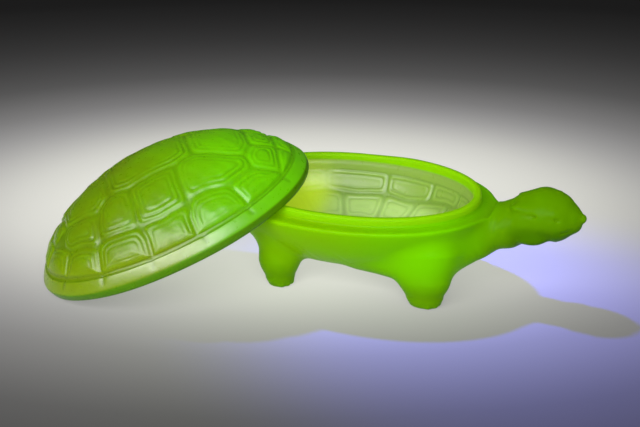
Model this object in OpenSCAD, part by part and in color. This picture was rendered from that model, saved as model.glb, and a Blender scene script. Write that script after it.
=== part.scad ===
// Tortoise-shaped covered dish in pressed satin glass: a footed bowl with
// head and legs, and a loose domed shell lid that leans on the bowl's rim.

/* [Bowl] */
// Half length of the bowl opening
open_a = 59; // [54:0.5:62]
// Half width of the bowl opening
open_b = 40.5; // [37:0.5:43]
// Thickness of the upstanding collar round the opening
collar_t = 3.75; // [3:0.25:4.5]
// Height of the collar's top above the table
rim_h = 45.5; // [44:0.5:48]
// Height of the collar above the lid's ledge
collar_h = 4.4; // [3:0.2:5]
// Width of the ledge that the lid sits on
ledge_w = 7.2; // [6:0.2:8.5]
// Height of the belly above the table
belly_h = 11; // [9:0.5:12]
// Glass thickness of the bowl's floor
floor_t = 5; // [4:0.5:6]

/* [Lid] */
// Thickness of the lid's rim
lid_rim_t = 6.4; // [5:0.2:7]
// Running gap between the lid's rim and the collar
lid_gap = 1; // [0.6:0.1:1.5]
// Height of the dome above the lid's rim plane
dome_h = 39; // [34:0.2:44]
// Glass thickness at the top of the dome
dome_t = 5; // [4:0.5:6]
// Height of the upright edge of the rim
edge_h = 4.3; // [3:0.1:5]
// Height of the scutes over their grooves
scute_h = 0.8; // [0.5:0.1:1.2]

/* [Leaning lid] */
// Turn of the lid about the vertical
lid_yaw = 32.7; // [30:0.1:35]
// Tilt of the lid, front end up
lid_pitch = 23.3; // [23.3:0.1:25]
// Sideways tilt of the lid
lid_roll = 0.1; // [0:0.1:0.4]
// Lid centre behind the bowl centre
lid_back = 77.9; // [77:0.1:79]
// Lid centre to the side of the bowl centre
lid_side = 36.8; // [36:0.1:38]

/* [Hidden] */
$fn = 32;
sq = 2.08;              // how square the ovals are, 2 is an ellipse
col_a = open_a + collar_t;
col_b = open_b + collar_t;
led_a = col_a + ledge_w;
led_b = col_b + ledge_w;
led_z = rim_h - collar_h;
lid_a = col_a + lid_gap + lid_rim_t;
lid_b = col_b + lid_gap + lid_rim_t;
glass = [0.42, 0.70, 0.05];
glass_lid = [0.36, 0.64, 0.04];

// One oval ring of points: half length, half width, height
function ring(r, n = 72) = [for (i = [0:n - 1]) let (c = cos(360 * i / n), s = sin(360 * i / n))
    [r[0] * sign(c) * pow(abs(c), 2 / sq), r[1] * sign(s) * pow(abs(s), 2 / sq), r[2]]];

// A closed skin through rings that are listed from the bottom up
module loft(rings, n = 72) {
    m = len(rings);
    polyhedron(
        points = [for (r = rings) each ring(r, n)],
        faces = concat(
            [[for (i = [0:n - 1]) i]],
            [for (k = [0:m - 2], i = [0:n - 1]) each
                [[k * n + i, (k + 1) * n + i, (k + 1) * n + (i + 1) % n],
                 [k * n + i, (k + 1) * n + (i + 1) % n, k * n + (i + 1) % n]]],
            [[for (i = [n - 1:-1:0]) (m - 1) * n + i]]));
}

// ---- bowl ----
// every oval of the bowl follows from its half width: round in the middle, long towards the rim
function oval(u, z) = [u + (open_a - open_b) * (u < 40 ? 1 - pow(1 - u / 40, 2) : 1), u, z];
// share of the ledge's half width, then height as a share of the side
belly = [[0.30, 0], [0.42, 0.02], [0.52, 0.09], [0.63, 0.20], [0.735, 0.34], [0.83, 0.50],
         [0.91, 0.68], [0.965, 0.83], [0.993, 0.93], [1, 0.97], [0.994, 0.992]];
bowl_outer = concat(
    [for (p = belly) oval(led_b * p[0], belly_h + p[1] * (led_z - belly_h))],
    [[col_a + 0.3, col_b + 0.3, led_z], [col_a, col_b, led_z + 0.4],
     [col_a - 0.1, col_b - 0.1, rim_h - 0.8], [col_a - 0.8, col_b - 0.8, rim_h]]);
hollow = [[0.22, 0], [0.42, 0.03], [0.60, 0.11], [0.74, 0.25], [0.85, 0.43], [0.93, 0.64], [0.975, 0.85], [0.985, 0.97]];
floor_z = belly_h + floor_t;
bowl_inner = concat(
    [for (p = hollow) oval(open_b * p[0], floor_z + p[1] * (led_z - floor_z))],
    [[open_a - 0.1, open_b - 0.1, led_z + 0.5], [open_a, open_b, rim_h - 0.6],
     [open_a + 0.8, open_b + 0.8, rim_h + 0.01], [open_a + 0.8, open_b + 0.8, rim_h + 8]]);

// A chain of blended balls: each is [centre, radii]
module chain(balls) {
    for (i = [0:len(balls) - 2]) hull() {
        translate(balls[i][0]) scale(balls[i][1]) sphere(1);
        translate(balls[i + 1][0]) scale(balls[i + 1][1]) sphere(1);
    }
}

// One stubby leg with a flat round sole
module leg(x, y, w) {
    chain([[[x - 1.5, y * 0.86, 23.5], [17 * w, 14, 12.5]],
           [[x, y * 0.97, 12.5], [10.8 * w, 10, 9]],
           [[x + 0.5, y, 5], [7.8 * w, 7.4, 5.4]]]);
    hull() {
        translate([x + 0.5, y, 4]) scale([7.2 * w, 7, 3]) sphere(1);
        translate([x + 0.5, y, 0]) cylinder(h = 1, r1 = 5.6 * w, r2 = 6.4 * w);
    }
}

// The swell of the front thigh under the belly
module thigh(s) {
    chain([[[14, 22 * s, 19.5], [9, 8, 8]], [[36, 26 * s, 17.5], [9, 9, 9]]]);
}

module head_and_neck() {
    chain([[[48, 0, 25], [15, 20, 13]], [[65, 0, 30], [11, 15, 12]], [[78, 0, 35], [9, 12.5, 11.5]],
           [[87, 0, 40], [9, 12.5, 12]], [[94.5, 0, 42.8], [11.5, 13.5, 12]],
           [[101, 0, 41.7], [8.5, 11.5, 11.2]], [[107.2, 0, 42], [4.4, 7, 6.2]], [[112.2, 0, 42.4], [1.7, 2.4, 2]]]);
    // chest between the front legs
    hull() for (s = [-1, 1]) {
        translate([46, 16 * s, 21.5]) scale([14, 13, 11.5]) sphere(1);
        translate([61, 7 * s, 26]) scale([10, 9, 10.5]) sphere(1);
    }
}

module tail() {
    chain([[[-52, 0, 26], [10, 9, 8]], [[-66, 0, 24], [6, 5, 4.5]], [[-74, 0, 21.5], [2.2, 2, 1.8]]]);
}

module dish_base() color(glass) translate(base_at) difference() {
    union() {
        loft(bowl_outer);
        difference() {
            intersection() {
                union() {
                    for (s = [-1, 1]) { leg(44.6, 28 * s, 1.04); leg(-28.6, 28.6 * s, 0.88); thigh(s); }
                    head_and_neck();
                    tail();
                }
                translate([-150, -100, 0]) cube([300, 200, 90]);
            }
            // room for the lid's rim over the ledge
            translate([0, 0, led_z - 0.6]) linear_extrude(40)
                polygon([for (p = ring([led_a + 1.4, led_b + 1.4, 0])) [p[0], p[1]]]);
        }
    }
    loft(bowl_inner);
}

// ---- lid ----
function rise(s) = pow(max(0, 1 - pow(s, 2.12)), 0.746);
dome_s = [0.925, 0.905, 0.88, 0.85, 0.81, 0.76, 0.70, 0.63, 0.55, 0.46, 0.36, 0.25, 0.13, 0.03];
dome_0 = 2.2;
function dome_rings(add) = [for (s = dome_s) [(lid_a + add * s) * s, (lid_b + add * s) * s, dome_0 + add * 0.9 + (dome_h - dome_0) * rise(s)]];
function edge_rings() = [[lid_a - 0.9, lid_b - 0.9, 0], [lid_a - 0.2, lid_b - 0.2, 0.7], [lid_a, lid_b, 2.2],
    [lid_a - 0.1, lid_b - 0.1, edge_h - 0.6], [lid_a - 0.8, lid_b - 0.8, edge_h + 0.4],
    [lid_a * 0.968, lid_b * 0.968, edge_h + 3.4], [lid_a * 0.951, lid_b * 0.951, edge_h + 5.0]];
groove_ring = [[lid_a * 0.937, lid_b * 0.937, edge_h + 5.2]];
lid_outer = concat(edge_rings(), groove_ring, dome_rings(0));
in_a = lid_a - lid_rim_t;
in_b = lid_b - lid_rim_t;
hol_s = [0.985, 0.96, 0.92, 0.87, 0.81, 0.74, 0.65, 0.55, 0.43, 0.30, 0.15, 0.03];
lid_inner = concat([[in_a, in_b, -3], [in_a, in_b, 5.4]],
    [for (s = hol_s) [in_a * s, in_b * s, 5.4 + (dome_h - dome_t - 5.4) * rise(s)]]);

// Scute outlines on the near half, in round millimetres from the dome's centre
vertebral = [
    [[-57, 6], [-48, 7.5], [-48, -7.5], [-57, -6]],
    [[-48, 7.5], [-38, 13.5], [-30.5, 19.5], [-28, 17], [-22, 15], [-22, -15], [-28, -17], [-30.5, -19.5], [-38, -13.5], [-48, -7.5]],
    [[-22, 15], [-12.5, 19], [-4, 18.5], [12, 18], [21.5, 13.5], [21.5, -13.5], [12, -18], [-4, -18.5], [-12.5, -19], [-22, -15]],
    [[21.5, 13.5], [37, 18.5], [43.5, 19], [48, 10], [48, -10], [43.5, -19], [37, -18.5], [21.5, -13.5]],
    [[48, 10], [59, 8], [59, -8], [48, -10]]];
costal = [
    [[-52, 15], [-48, 7.5], [-38, 13.5], [-30.5, 19.5], [-34.5, 31], [-36.5, 31.5], [-44, 25], [-50, 21]],
    [[-30.5, 19.5], [-28, 17], [-22, 15], [-12.5, 19], [-13.2, 29], [-15, 37.2], [-25, 34], [-31, 31.8], [-34.5, 31]],
    [[-12.5, 19], [-4, 18.5], [12, 18], [10.5, 30], [10.5, 37.8], [-4, 39], [-15, 37.2], [-13.2, 29]],
    [[12, 18], [21.5, 13.5], [37, 18.5], [43.5, 19], [44, 26.5], [37, 31], [30, 34.8], [20, 35], [14, 36.2], [10.5, 37.8], [10.5, 30]],
    [[43.5, 19], [48, 10], [59, 8], [57, 19], [55.5, 26], [44, 26.5]]];
marginal = [
    [[-57, 6], [-52, 15], [-50, 21], [-55, 26.5], [-62, 17], [-65, 7]],
    [[-50, 21], [-44, 25], [-36.5, 31.5], [-38, 39.5], [-46.5, 34], [-54.5, 27]],
    [[-36.5, 31.5], [-31, 31.8], [-25, 34], [-15, 37.2], [-13.5, 42], [-15.5, 47.3], [-27, 44.5], [-38, 39.5]],
    [[-15, 37.2], [-4, 39], [10.5, 37.8], [8, 43], [6, 48.3], [-5, 48.4], [-15.5, 47.3], [-13.5, 42]],
    [[10.5, 37.8], [14, 36.2], [20, 35], [30, 34.8], [33, 38], [33.5, 42.2], [22, 46], [6, 48.3], [8, 43]],
    [[30, 34.8], [37, 31], [44, 26.5], [55.5, 26], [56.5, 27], [46, 35.5], [33.5, 42.2], [33, 38]]];

// One raised scute: its outline drawn in by half the groove, as one convex block
module pad(pts, gap = 0.9) {
    hull() translate([0, 0, 4]) linear_extrude(dome_h) offset(delta = -gap) polygon([for (p = pts) [p[0], p[1]]]);
}

module shell_lid() color(glass_lid) translate(base_at + lid_at) rotate([0, 0, lid_yaw]) rotate([0, -lid_pitch, 0]) rotate([lid_roll, 0, 0])
difference() {
    union() {
        loft(lid_outer);
        intersection() {
            loft(concat([[lid_a * 0.93, lid_b * 0.93, 3]], dome_rings(scute_h)));
            union() {
                for (p = vertebral) pad(p);
                for (s = [-1, 1], p = concat(costal, marginal)) pad([for (q = p) [q[0], s * q[1]]]);
            }
        }
    }
    loft(lid_inner);
}

// ---- where the lid leans: its lowest point is on the table ----
function turn(p) = let (
    a = [p[0], p[1] * cos(lid_roll) - p[2] * sin(lid_roll), p[1] * sin(lid_roll) + p[2] * cos(lid_roll)],
    b = [a[0] * cos(lid_pitch) - a[2] * sin(lid_pitch), a[1], a[0] * sin(lid_pitch) + a[2] * cos(lid_pitch)])
    [b[0] * cos(lid_yaw) - b[1] * sin(lid_yaw), b[0] * sin(lid_yaw) + b[1] * cos(lid_yaw), b[2]];
lid_points = [for (r = lid_outer) each [for (p = ring(r)) turn(p)]];
lid_at = [-lid_back, -lid_side, -min([for (p = lid_points) p[2]])];
// the whole stands with the middle of its box over the origin
x_low = min([for (p = lid_points) p[0]]) - lid_back;
y_low = min([for (p = lid_points) p[1]]) - lid_side;
base_at = [-(x_low + 113.9) / 2, -(y_low + led_b) / 2, 0];

dish_base();
shell_lid();
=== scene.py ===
import math

import bpy
import numpy as np
from mathutils import Matrix, Vector
from mathutils.geometry import delaunay_2d_cdt


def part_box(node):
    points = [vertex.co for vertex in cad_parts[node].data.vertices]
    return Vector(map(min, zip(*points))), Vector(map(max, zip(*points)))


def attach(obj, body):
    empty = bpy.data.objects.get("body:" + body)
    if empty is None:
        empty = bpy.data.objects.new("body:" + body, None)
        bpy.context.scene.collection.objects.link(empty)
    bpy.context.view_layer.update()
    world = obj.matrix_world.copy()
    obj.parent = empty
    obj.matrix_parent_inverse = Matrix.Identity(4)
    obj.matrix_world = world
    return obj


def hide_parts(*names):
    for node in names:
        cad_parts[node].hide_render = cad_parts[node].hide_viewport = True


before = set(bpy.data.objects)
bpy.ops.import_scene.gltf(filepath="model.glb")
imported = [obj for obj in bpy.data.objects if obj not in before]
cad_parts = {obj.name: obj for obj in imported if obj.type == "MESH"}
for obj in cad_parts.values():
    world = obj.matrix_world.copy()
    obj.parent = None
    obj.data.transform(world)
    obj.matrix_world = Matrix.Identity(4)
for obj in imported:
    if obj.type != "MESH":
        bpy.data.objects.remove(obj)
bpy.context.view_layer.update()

MM = 0.001
SQ = 2.08  # how square the ovals are

# ------------------------------------------------------------------ sizes, mm
OPEN_A, OPEN_B = 59.0, 40.5
COL_A, COL_B = 62.75, 44.25
LED_A, LED_B = 69.95, 51.45
LED_Z, RIM_Z = 41.1, 45.5
LID_A, LID_B = 70.15, 51.65
IN_A, IN_B = 63.75, 45.25
YAW, PITCH, ROLL = 32.7, 23.3, 0.1

lo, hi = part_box("dish_base")
BASE_AT = np.array([hi.x / MM - 113.9, (lo.y + hi.y) / 2 / MM, 0.0])


# ------------------------------------------------------------------ curve and grid helpers
def spow(c, e):
    return np.sign(c) * np.abs(c) ** e


def smooth_curve(pts, step):
    """A smooth line through pts, with a point about every step."""
    P = np.array(pts, float)
    h = np.linalg.norm(np.diff(P, axis=0), axis=1)
    d = np.diff(P, axis=0) / h[:, None]
    m = np.empty_like(P)
    m[0], m[-1] = d[0], d[-1]
    m[1:-1] = (d[1:] * h[:-1, None] + d[:-1] * h[1:, None]) / (h[1:] + h[:-1])[:, None]
    out = []
    for i in range(len(P) - 1):
        n = max(1, int(round(h[i] / step)))
        t = (np.arange(n) / n)[:, None]
        out.append(
            (2 * t**3 - 3 * t**2 + 1) * P[i]
            + (t**3 - 2 * t**2 + t) * h[i] * m[i]
            + (-2 * t**3 + 3 * t**2) * P[i + 1]
            + (t**3 - t**2) * h[i] * m[i + 1]
        )
    out.append(P[-1:])
    return np.vstack(out)


def arc(P):
    return np.concatenate([[0], np.cumsum(np.linalg.norm(np.diff(P, axis=0), axis=1))])


def poly_dist(X, Y, poly):
    """Distance to the outline, positive inside."""
    P = np.array(poly, float)
    d2 = np.full(X.shape, 1e9)
    inside = np.zeros(X.shape, bool)
    for (ax, ay), (bx, by) in zip(P, np.roll(P, -1, 0)):
        ex, ey = bx - ax, by - ay
        if ex * ex + ey * ey < 1e-12:
            continue
        t = np.clip(((X - ax) * ex + (Y - ay) * ey) / (ex * ex + ey * ey), 0, 1)
        d2 = np.minimum(d2, (X - ax - t * ex) ** 2 + (Y - ay - t * ey) ** 2)
        if ey != 0:
            inside ^= ((ay > Y) != (by > Y)) & (X < ax + (Y - ay) * ex / ey)
    d = np.sqrt(d2)
    return np.where(inside, d, -d)


def blur(V, sigma):
    r = int(3 * sigma + 1)
    k = np.exp(-0.5 * (np.arange(-r, r + 1) / sigma) ** 2)
    k /= k.sum()
    for ax in (0, 1):
        pad = [(0, 0), (0, 0)]
        pad[ax] = (r, r)
        W = np.pad(V, pad, mode="edge")
        V = sum(
            w * (W[i : i + V.shape[0]] if ax == 0 else W[:, i : i + V.shape[1]])
            for i, w in enumerate(k)
        )
    return V


class Grid:
    def __init__(self, x0, y0, h, V):
        self.x0, self.y0, self.h, self.V = x0, y0, h, V

    def __call__(self, x, y):
        fx = np.clip((x - self.x0) / self.h, 0, self.V.shape[0] - 1.001)
        fy = np.clip((y - self.y0) / self.h, 0, self.V.shape[1] - 1.001)
        i, j = fx.astype(int), fy.astype(int)
        a, b = fx - i, fy - j
        V = self.V
        return (
            V[i, j] * (1 - a) * (1 - b)
            + V[i + 1, j] * a * (1 - b)
            + V[i, j + 1] * (1 - a) * b
            + V[i + 1, j + 1] * a * b
        )


def sstep(x, a, b):
    t = np.clip((x - a) / (b - a), 0, 1)
    return t * t * (3 - 2 * t)


def gauss(x, s):
    return np.exp(-((x / s) ** 2))


# ------------------------------------------------------------------ mesh helpers
class Build:
    """Collects vertices, faces and a few values per vertex."""

    def __init__(self):
        self.v, self.f, self.att, self.n = [], [], [], 0

    def add(self, P, att=None):
        P = np.asarray(P, float)
        self.v.append(P)
        self.att.append(np.zeros(len(P)) if att is None else att)
        self.n += len(P)
        return self.n - len(P)

    def disc(self, start, K, up=True):
        """Faces of a hexagonal disc: ring k has 6k points, and its first point is start."""
        first = lambda k: start if k == 0 else start + 1 + 3 * k * (k - 1)
        for k in range(1, K + 1):
            j = np.arange(6 * k)
            sec, i = j // k, j % k
            o = first(k)
            inner = first(k - 1)
            m = max(6 * (k - 1), 1)
            a, b = o + j, o + (j + 1) % (6 * k)
            c = inner + (sec * (k - 1) + i) % m
            self.tri(a, b, c, up)
            if k > 1:
                q = i < k - 1
                c2 = inner + (sec * (k - 1) + i + 1) % m
                self.tri(b[q], c2[q], c[q], up)
        return first(K)

    def tri(self, a, b, c, up=True):
        self.f.append(np.stack([a, b, c] if up else [a, c, b], 1))

    def strip(self, r0, r1, n, up=True):
        """Faces between two closed rows of n points."""
        j = np.arange(n)
        k = (j + 1) % n
        self.tri(r0 + j, r1 + j, r1 + k, up)
        self.tri(r0 + j, r1 + k, r0 + k, up)

    def halve(self, r0, r1, n, up=True):
        """Faces from a row of n points to a row of n / 2."""
        j = np.arange(n // 2)
        k = (j + 1) % (n // 2)
        self.tri(r0 + 2 * j, r1 + j, r0 + 2 * j + 1, up)
        self.tri(r0 + 2 * j + 1, r1 + j, r1 + k, up)
        self.tri(r0 + 2 * j + 1, r1 + k, r0 + (2 * j + 2) % n, up)

    def done(self):
        return np.vstack(self.v), np.vstack(self.f), np.concatenate(self.att)


def make_object(name, V, F, atts):
    me = bpy.data.meshes.new(name)
    me.vertices.add(len(V))
    me.vertices.foreach_set("co", (V * MM).astype(np.float32).ravel())
    me.loops.add(3 * len(F))
    me.loops.foreach_set("vertex_index", F.astype(np.int32).ravel())
    me.polygons.add(len(F))
    me.polygons.foreach_set("loop_start", np.arange(0, 3 * len(F), 3, dtype=np.int32))
    me.update(calc_edges=True)
    me.validate()
    me.polygons.foreach_set("use_smooth", np.ones(len(me.polygons), bool))
    for k, a in atts.items():
        at = me.attributes.new(k, "FLOAT", "POINT")
        at.data.foreach_set("value", a.astype(np.float32))
    me.update()
    ob = bpy.data.objects.new(name, me)
    bpy.context.scene.collection.objects.link(ob)
    return ob


def normals(V, F):
    n = np.cross(V[F[:, 1]] - V[F[:, 0]], V[F[:, 2]] - V[F[:, 0]])
    N = np.zeros_like(V)
    for i in range(3):
        for c in range(3):
            N[:, c] += np.bincount(F[:, i], n[:, c], len(V))
    return N / np.maximum(np.linalg.norm(N, axis=1), 1e-12)[:, None]


def hex_angles(K):
    """(ring share, angle) of every point of a hexagonal disc of K rings."""
    ks, ts = [np.zeros(1)], [np.zeros(1)]
    for k in range(1, K + 1):
        ks.append(np.full(6 * k, k / K))
        ts.append(2 * np.pi * np.arange(6 * k) / (6 * k))
    return np.concatenate(ks), np.concatenate(ts)


# ------------------------------------------------------------------ lid
def rise(s):
    return np.maximum(0, 1 - s**2.12) ** 0.746


DOME_0, DOME_H = 2.2, 39.0
_s = np.linspace(0, 1, 4001)
_L = arc(np.stack([60.9 * _s, (DOME_H - DOME_0) * rise(_s)], 1))


def unroll_lid(x, y):
    s = (np.abs(x / LID_A) ** SQ + np.abs(y / LID_B) ** SQ) ** (1 / SQ)
    s = np.maximum(s, 1e-6)
    k = np.interp(s, _s, _L) / (60.9 * s)
    return x * k, y * k


VERTEBRAL = [
    [(-57, 6), (-48, 7.5), (-48, -7.5), (-57, -6)],
    [(-48, 7.5), (-38, 13.5), (-30.5, 19.5), (-28, 17), (-22, 15), (-22, -15), (-28, -17), (-30.5, -19.5), (-38, -13.5), (-48, -7.5)],
    [(-22, 15), (-12.5, 19), (-4, 18.5), (12, 18), (21.5, 13.5), (21.5, -13.5), (12, -18), (-4, -18.5), (-12.5, -19), (-22, -15)],
    [(21.5, 13.5), (37, 18.5), (43.5, 19), (48, 10), (48, -10), (43.5, -19), (37, -18.5), (21.5, -13.5)],
    [(48, 10), (59, 8), (59, -8), (48, -10)],
]
COSTAL = [
    [(-52, 15), (-48, 7.5), (-38, 13.5), (-30.5, 19.5), (-34.5, 31), (-36.5, 31.5), (-44, 25), (-50, 21)],
    [(-30.5, 19.5), (-28, 17), (-22, 15), (-12.5, 19), (-13.2, 29), (-15, 37.2), (-25, 34), (-31, 31.8), (-34.5, 31)],
    [(-12.5, 19), (-4, 18.5), (12, 18), (10.5, 30), (10.5, 37.8), (-4, 39), (-15, 37.2), (-13.2, 29)],
    [(12, 18), (21.5, 13.5), (37, 18.5), (43.5, 19), (44, 26.5), (37, 31), (30, 34.8), (20, 35), (14, 36.2), (10.5, 37.8), (10.5, 30)],
    [(43.5, 19), (48, 10), (59, 8), (57, 19), (55.5, 26), (44, 26.5)],
]
MARGINAL = [
    [(-57, 6), (-52, 15), (-50, 21), (-55.5, 27.5), (-62, 17), (-65.5, 7)],
    [(-50, 21), (-44, 25), (-36.5, 31.5), (-38.5, 40.5), (-47, 35), (-55.5, 27.5)],
    [(-36.5, 31.5), (-31, 31.8), (-25, 34), (-15, 37.2), (-13.5, 42), (-15.5, 48.6), (-27, 46), (-38.5, 40.5)],
    [(-15, 37.2), (-4, 39), (10.5, 37.8), (8, 43), (6, 50), (-5, 50.2), (-15.5, 48.6), (-13.5, 42)],
    [(10.5, 37.8), (14, 36.2), (20, 35), (30, 34.8), (33, 38), (34, 43.8), (22, 47.8), (6, 50), (8, 43)],
    [(30, 34.8), (37, 31), (44, 26.5), (55.5, 26), (57.5, 28.5), (47, 36.8), (34, 43.8), (33, 38)],
    [(-57, 6), (-65.5, 7), (-66.8, 0), (-65.5, -7), (-57, -6)],
    [(55.5, 26), (57, 19), (59, 8), (67, 8), (64, 17), (57.5, 28.5)],
    [(59, 8), (59, -8), (67, -8), (68, 0), (67, 8)],
]
S_GROOVE = 0.93
LID_AT = (-77.9, -36.8, 27.3915)  # the leaning lid's origin, measured from the bowl's
OUTER = {(-55.5, 27.5), (-62, 17), (-65.5, 7), (-38.5, 40.5), (-47, 35), (-15.5, 48.6), (-27, 46), (6, 50), (-5, 50.2), (34, 43.8), (22, 47.8), (57.5, 28.5), (47, 36.8), (-66.8, 0), (-65.5, -7), (67, 8), (64, 17), (67, -8), (68, 0)}


def lid_network():
    h = 0.35
    xs, ys = np.arange(-96, 96.1, h), np.arange(-78, 78.1, h)
    X, Y = np.meshgrid(xs, ys, indexing="ij")
    D = np.full(X.shape, -0.6)
    polys = list(VERTEBRAL)
    for p in COSTAL + MARGINAL:
        p = [(1.14 * a, 1.14 * b) if (a, b) in OUTER else (a, b) for a, b in p]
        polys.append(p)
        if not any(abs(sum(q[1] for q in p)) < 1e-6 for _ in (0,)):
            polys.append([(a, -b) for a, b in p])
    for p in polys:
        P = []
        for (ax, ay), (bx, by) in zip(p, p[1:] + p[:1]):
            for t in (0, 0.25, 0.5, 0.75):
                P.append((ax + t * (bx - ax), ay + t * (by - ay)))
        P = np.array(P)
        P = np.stack(unroll_lid(P[:, 0], P[:, 1]), 1)
        i0, i1 = np.searchsorted(xs, [P[:, 0].min() - 1, P[:, 0].max() + 1])
        j0, j1 = np.searchsorted(ys, [P[:, 1].min() - 1, P[:, 1].max() + 1])
        D[i0:i1, j0:j1] = np.maximum(
            D[i0:i1, j0:j1], poly_dist(X[i0:i1, j0:j1], Y[i0:i1, j0:j1], P)
        )
    return Grid(xs[0], ys[0], h, blur(D, 1.25 / h) - 0.45)


def scute(d, w):
    """Height of a scute's surface over its groove, d mm inside its outline, and how much painted groove shade it gets.
    w varies the strength of the rings.
    """
    h = 0.72 * sstep(d, -0.35, 1.5) + 1.5 * (1 - np.exp(-np.maximum(d - 0.6, 0) / 6.0)) - 0.74
    h += w * (0.08 * gauss(d - 1.35, 0.6) - 0.20 * gauss(d - 2.55, 0.55) + 0.09 * gauss(d - 3.6, 0.6) - 0.16 * gauss(d - 4.9, 0.6) - 0.04 * gauss(d - 7.2, 0.7))
    # g is painted shade: the grooves and the troughs of the rings are painted darker
    g = 0.55 * np.clip(1 - sstep(d, -0.2, 1.1), 0, 1) + w * (0.26 * gauss(d - 2.55, 0.55) + 0.18 * gauss(d - 4.9, 0.55))
    return h, np.clip(g, 0, 1)


def build_lid():
    K = 136
    N = 6 * K
    B = Build()
    share, t = hex_angles(K)
    LK = np.interp(S_GROOVE, _s, _L)
    s = np.interp(share * LK, _L, _s)
    x = LID_A * s * spow(np.cos(t), 2 / SQ)
    y = LID_B * s * spow(np.sin(t), 2 / SQ)
    z = DOME_0 + (DOME_H - DOME_0) * rise(s)
    P = np.stack([x, y, z], 1)
    net = lid_network()
    d = net(*unroll_lid(x, y))
    ux, uy = unroll_lid(x, y)
    e = 0.7
    gx, gy = net(ux + e, uy) - net(ux - e, uy), net(ux, uy + e) - net(ux, uy - e)
    inward = -(gx * ux + gy * uy) / np.maximum(np.hypot(gx, gy) * np.hypot(ux, uy), 1e-6)
    band = LK - np.interp(s, _s, _L)
    d = np.minimum(d, band * 1.5 + 0.1)
    # the rings are strongest along the lower borders and die out towards the band
    w = np.clip(0.85 + 0.75 * np.sin(x * 0.17 + 2 + 0.8 * np.sin(y * 0.23)) * np.sin(y * 0.19 + 0.7), 0.15, 1.6)
    w *= (0.70 + 0.75 * sstep(inward, -0.2, 0.8)) * sstep(band, 1.5, 5.0)
    h, g = scute(d, w)
    # the glass was pressed by hand: low, slow unevenness
    h += 1.15 * sstep(-x, 30, 56)
    h += 0.10 * np.sin(x * 0.31 + 1.3) * np.sin(y * 0.27 + 0.4) + 0.05 * np.sin(x * 0.83 + y * 0.6)
    # outward direction of the smooth dome
    e = 1e-3
    s2 = np.clip(s, 1e-4, 0.999)
    dz = (DOME_H - DOME_0) * (rise(s2 + e) - rise(np.abs(s2 - e))) / (2 * e)
    with np.errstate(all="ignore"):
        gx = np.sign(x) * np.abs(x / LID_A) ** (SQ - 1) / LID_A * s2 ** (1 - SQ)
        gy = np.sign(y) * np.abs(y / LID_B) ** (SQ - 1) / LID_B * s2 ** (1 - SQ)
    nrm = np.stack([-dz * gx, -dz * gy, np.ones_like(z)], 1)
    nrm /= np.linalg.norm(nrm, axis=1)[:, None]
    P = P + nrm * h[:, None]
    st = B.add(P, g)
    last = B.disc(st, K)
    # groove, sloping band, upright edge and the foot of the rim
    A_, B_ = LID_A, LID_B
    f = lambda k, z: (A_ * k, B_ * k, z)
    o = lambda q, z: (A_ - q, B_ - q, z)
    g_ = lambda q, z: (A_ * 0.945 + (A_ * 0.055 - 0.15) * q, B_ * 0.945 + (B_ * 0.055 - 0.15) * q, z)
    rows = smooth_curve(
        [f(0.93, 10.55), f(0.9345, 9.9), f(0.938, 9.52), f(0.9415, 9.44), f(0.945, 9.4), g_(0.12, 9.0), g_(0.3, 8.15), g_(0.5, 7.1), g_(0.7, 6.0), g_(0.85, 5.1), g_(0.95, 4.4), g_(1, 3.8),
         o(0.03, 3.2), o(0, 2.2), o(0.2, 0.7), o(0.5, 0.18), o(1.0, 0.0),
         o(3.6, 0.0), o(5.9, 0.0), (IN_A + 0.15, IN_B + 0.15, 0.12), (IN_A, IN_B, 0.5), (IN_A, IN_B, 3.0), (IN_A, IN_B, 5.4)],
        0.85,
    )[1:]
    s_in = np.array([0.992, 0.978, 0.96, 0.935])
    rows = np.vstack([rows, np.stack([IN_A * s_in, IN_B * s_in, 5.4 + 28.6 * rise(s_in)], 1)])
    t = 2 * np.pi * np.arange(N) / N
    c, sn = spow(np.cos(t), 2 / SQ), spow(np.sin(t), 2 / SQ)
    # small nicks over the band's top where marginal scutes meet
    nick = np.zeros(N)
    for nx, ny in [(-40, 40), (9.5, 49), (33, 43), (-16, 48.5), (-59, 24), (55.5, 28)]:
        a = math.atan2(ny / LID_B, nx / LID_A)
        for q in (a, -a):
            w = (t - q + np.pi) % (2 * np.pi) - np.pi
            nick = np.maximum(nick, gauss(w * 55, 1.3))
    for ra, rb, rz in rows:
        amt = 0.27 * sstep(rz, 4.8, 8.5) * (ra > IN_A + 2) * nick
        wav = 0.07 * np.sin(9 * t + 1) * (ra > IN_A + 2)
        wav = wav + 1.05 * sstep(-ra * c, 30, 56) * sstep(rz, 0.8, 4.5) * (ra > IN_A + 2)
        R = np.stack([(ra - amt * 0.7 + wav) * c, (rb - amt * 0.7 + wav) * sn, np.full(N, rz) - amt * 0.8], 1)
        # painted shade: a dark line painted in the band's groove and in the nicks
        gr = 0.9 * gauss(rz - 9.5, 0.5) * (ra > 0.93 * A_) * (ra < 0.948 * A_) + 0.5 * nick * (amt > 0.1)
        cur = B.add(R, np.clip(np.zeros(N) + gr, 0, 1))
        B.strip(last, cur, N)
        last = cur
    # underside of the dome
    n = N
    sv = [0.905, 0.87]
    for q in sv:
        n //= 2
        t = 2 * np.pi * np.arange(n) / n
        cur = B.add(np.stack([IN_A * q * spow(np.cos(t), 2 / SQ), IN_B * q * spow(np.sin(t), 2 / SQ), np.full(n, 5.4 + 28.6 * rise(np.array(q)))], 1))
        B.halve(last, cur, n * 2)
        last = cur
    K2 = n // 6
    share, t = hex_angles(K2 - 1)
    LQ = np.interp(sv[-1], _s, _L) * (K2 - 1) / K2
    s = np.interp(share * LQ, _L, _s)
    P = np.stack([IN_A * s * spow(np.cos(t), 2 / SQ), IN_B * s * spow(np.sin(t), 2 / SQ), 5.4 + 28.6 * rise(s)], 1)
    st = B.add(P)
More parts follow.
